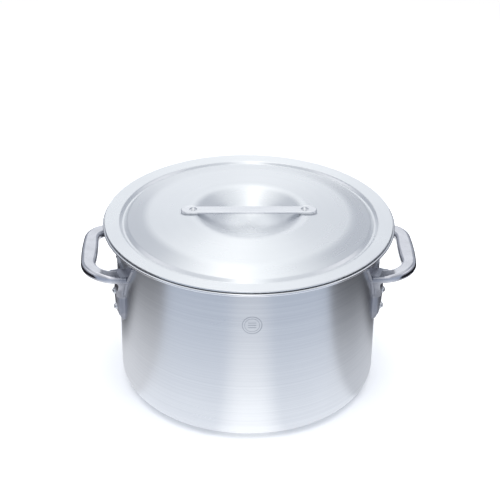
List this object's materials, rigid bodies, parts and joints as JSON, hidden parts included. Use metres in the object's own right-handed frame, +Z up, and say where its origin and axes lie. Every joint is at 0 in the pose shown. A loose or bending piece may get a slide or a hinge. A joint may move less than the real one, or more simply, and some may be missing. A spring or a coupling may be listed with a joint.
{
  "type": "stock pot",
  "caption": "Round half-depth metal stock pot with a turned-out lip, riveted loop side handles and a lift-off lid with a strap grip over a finger dish.",
  "frame": {"origin": "centre of the underside of the pot's base, which is the centre of the base circle", "axes": "+Z up along the pot's axis; +X towards the right handle, along the line through both handles and along the lid's strap; +Y to the back"},
  "size_m": [0.3942, 0.341, 0.222],
  "materials": {
    "spun_body": "fine circumferential spun lines, satin",
    "pressed_lid": "pale satin with fine turned lines",
    "cast_handle": "polished casting",
    "lid_strap": "satin strip with polished edges",
    "rivet": "plain set rivet"
  },
  "bodies": {
    "pot": {"pot_body": "spun_body", "left_handle": "cast_handle", "right_handle": "cast_handle", "left_rivet_upper_front": "rivet", "left_rivet_upper_back": "rivet", "left_rivet_lower_front": "rivet", "left_rivet_lower_back": "rivet", "right_rivet_upper_front": "rivet", "right_rivet_upper_back": "rivet", "right_rivet_lower_front": "rivet", "right_rivet_lower_back": "rivet"},
    "lid_body": {"lid": "pressed_lid", "lid_handle": "lid_strap", "lid_rivet_left": "rivet", "lid_rivet_right": "rivet"}
  },
  "joints": [
    {"name": "lid_lift", "type": "slide", "parent": "pot", "child": "lid_body", "axis": [0, 0, 1], "range_m": [0, 0.25]}
  ]
}
